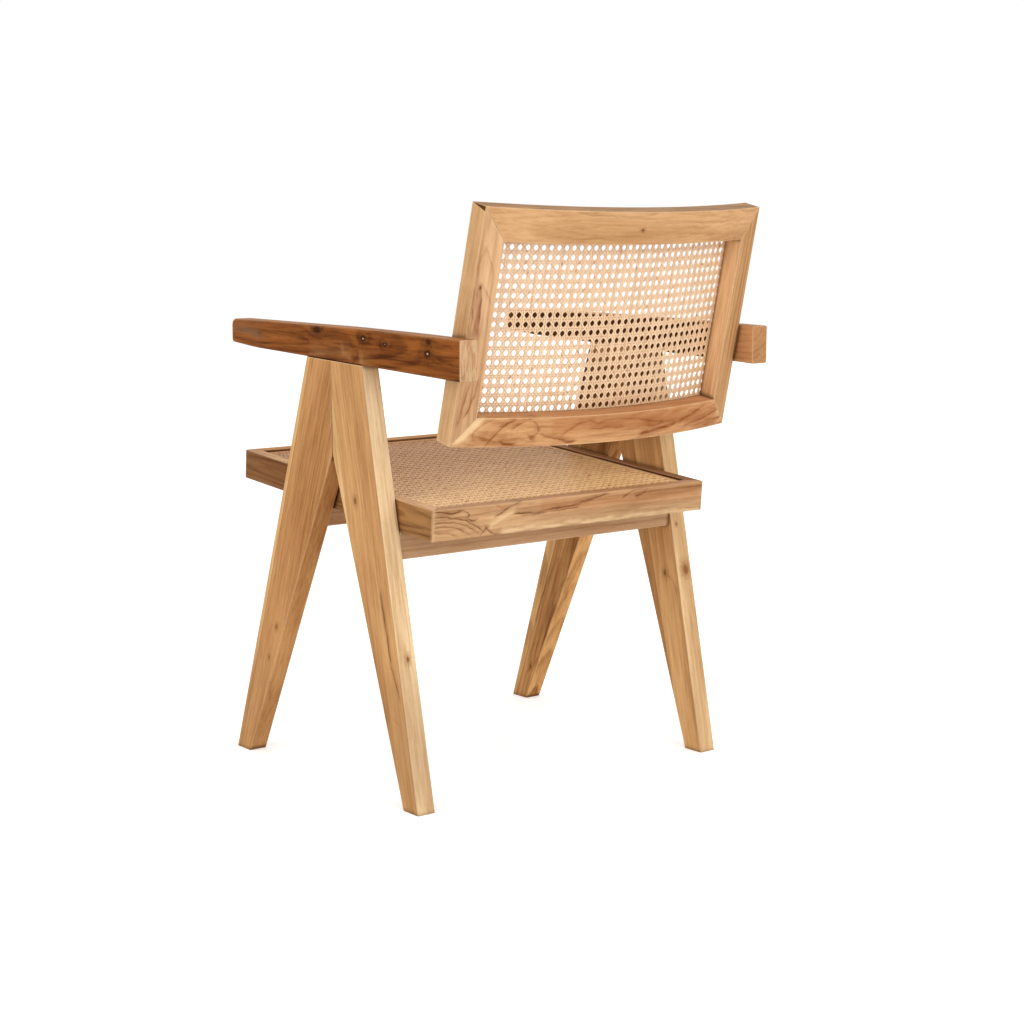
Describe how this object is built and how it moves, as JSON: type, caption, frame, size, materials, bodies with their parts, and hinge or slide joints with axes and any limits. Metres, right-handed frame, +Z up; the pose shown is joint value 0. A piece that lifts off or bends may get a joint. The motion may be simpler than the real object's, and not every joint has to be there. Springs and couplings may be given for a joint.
{
  "type": "rattan dining chair",
  "caption": "Open dining armchair with inverted-V legs of flat tapered teak, straight armrests, a tilted cane seat and a curved, reclined cane back.",
  "frame": {"origin": "on the floor, under the centre of the chair's bounding box", "axes": "+Z up, the chair faces -Y, +X towards the sitter's left"},
  "size_m": [0.544, 0.6091, 0.7924],
  "materials": {
    "teak_leg": "oiled",
    "teak_arm": "oiled",
    "teak_seat": "oiled",
    "teak_back": "oiled",
    "cane": "woven",
    "reed": "raw",
    "tenon": "raw",
    "screw_steel": "zinc plated"
  },
  "bodies": {
    "root": {"left_front_leg": "teak_leg", "left_rear_leg": "teak_leg", "right_front_leg": "teak_leg", "right_rear_leg": "teak_leg", "front_stretcher": "teak_leg", "rear_stretcher": "teak_leg", "left_armrest": "teak_arm", "right_armrest": "teak_arm", "seat_front_rail": "teak_seat", "seat_left_rail": "teak_seat", "seat_rear_rail": "teak_seat", "seat_right_rail": "teak_seat", "back_lower_rail": "teak_back", "back_upper_rail": "teak_back", "back_left_stile": "teak_back", "back_right_stile": "teak_back", "seat_cane": "cane", "back_cane": "cane", "seat_spline": "reed", "back_spline": "reed", "leg_tenons": "tenon", "armrest_tenons": "tenon", "stretcher_tenons": "tenon", "seat_corner_tenons": "tenon", "back_corner_tenons": "tenon", "back_arm_tenons": "tenon", "seat_screws": "screw_steel"}
  },
  "joints": []
}
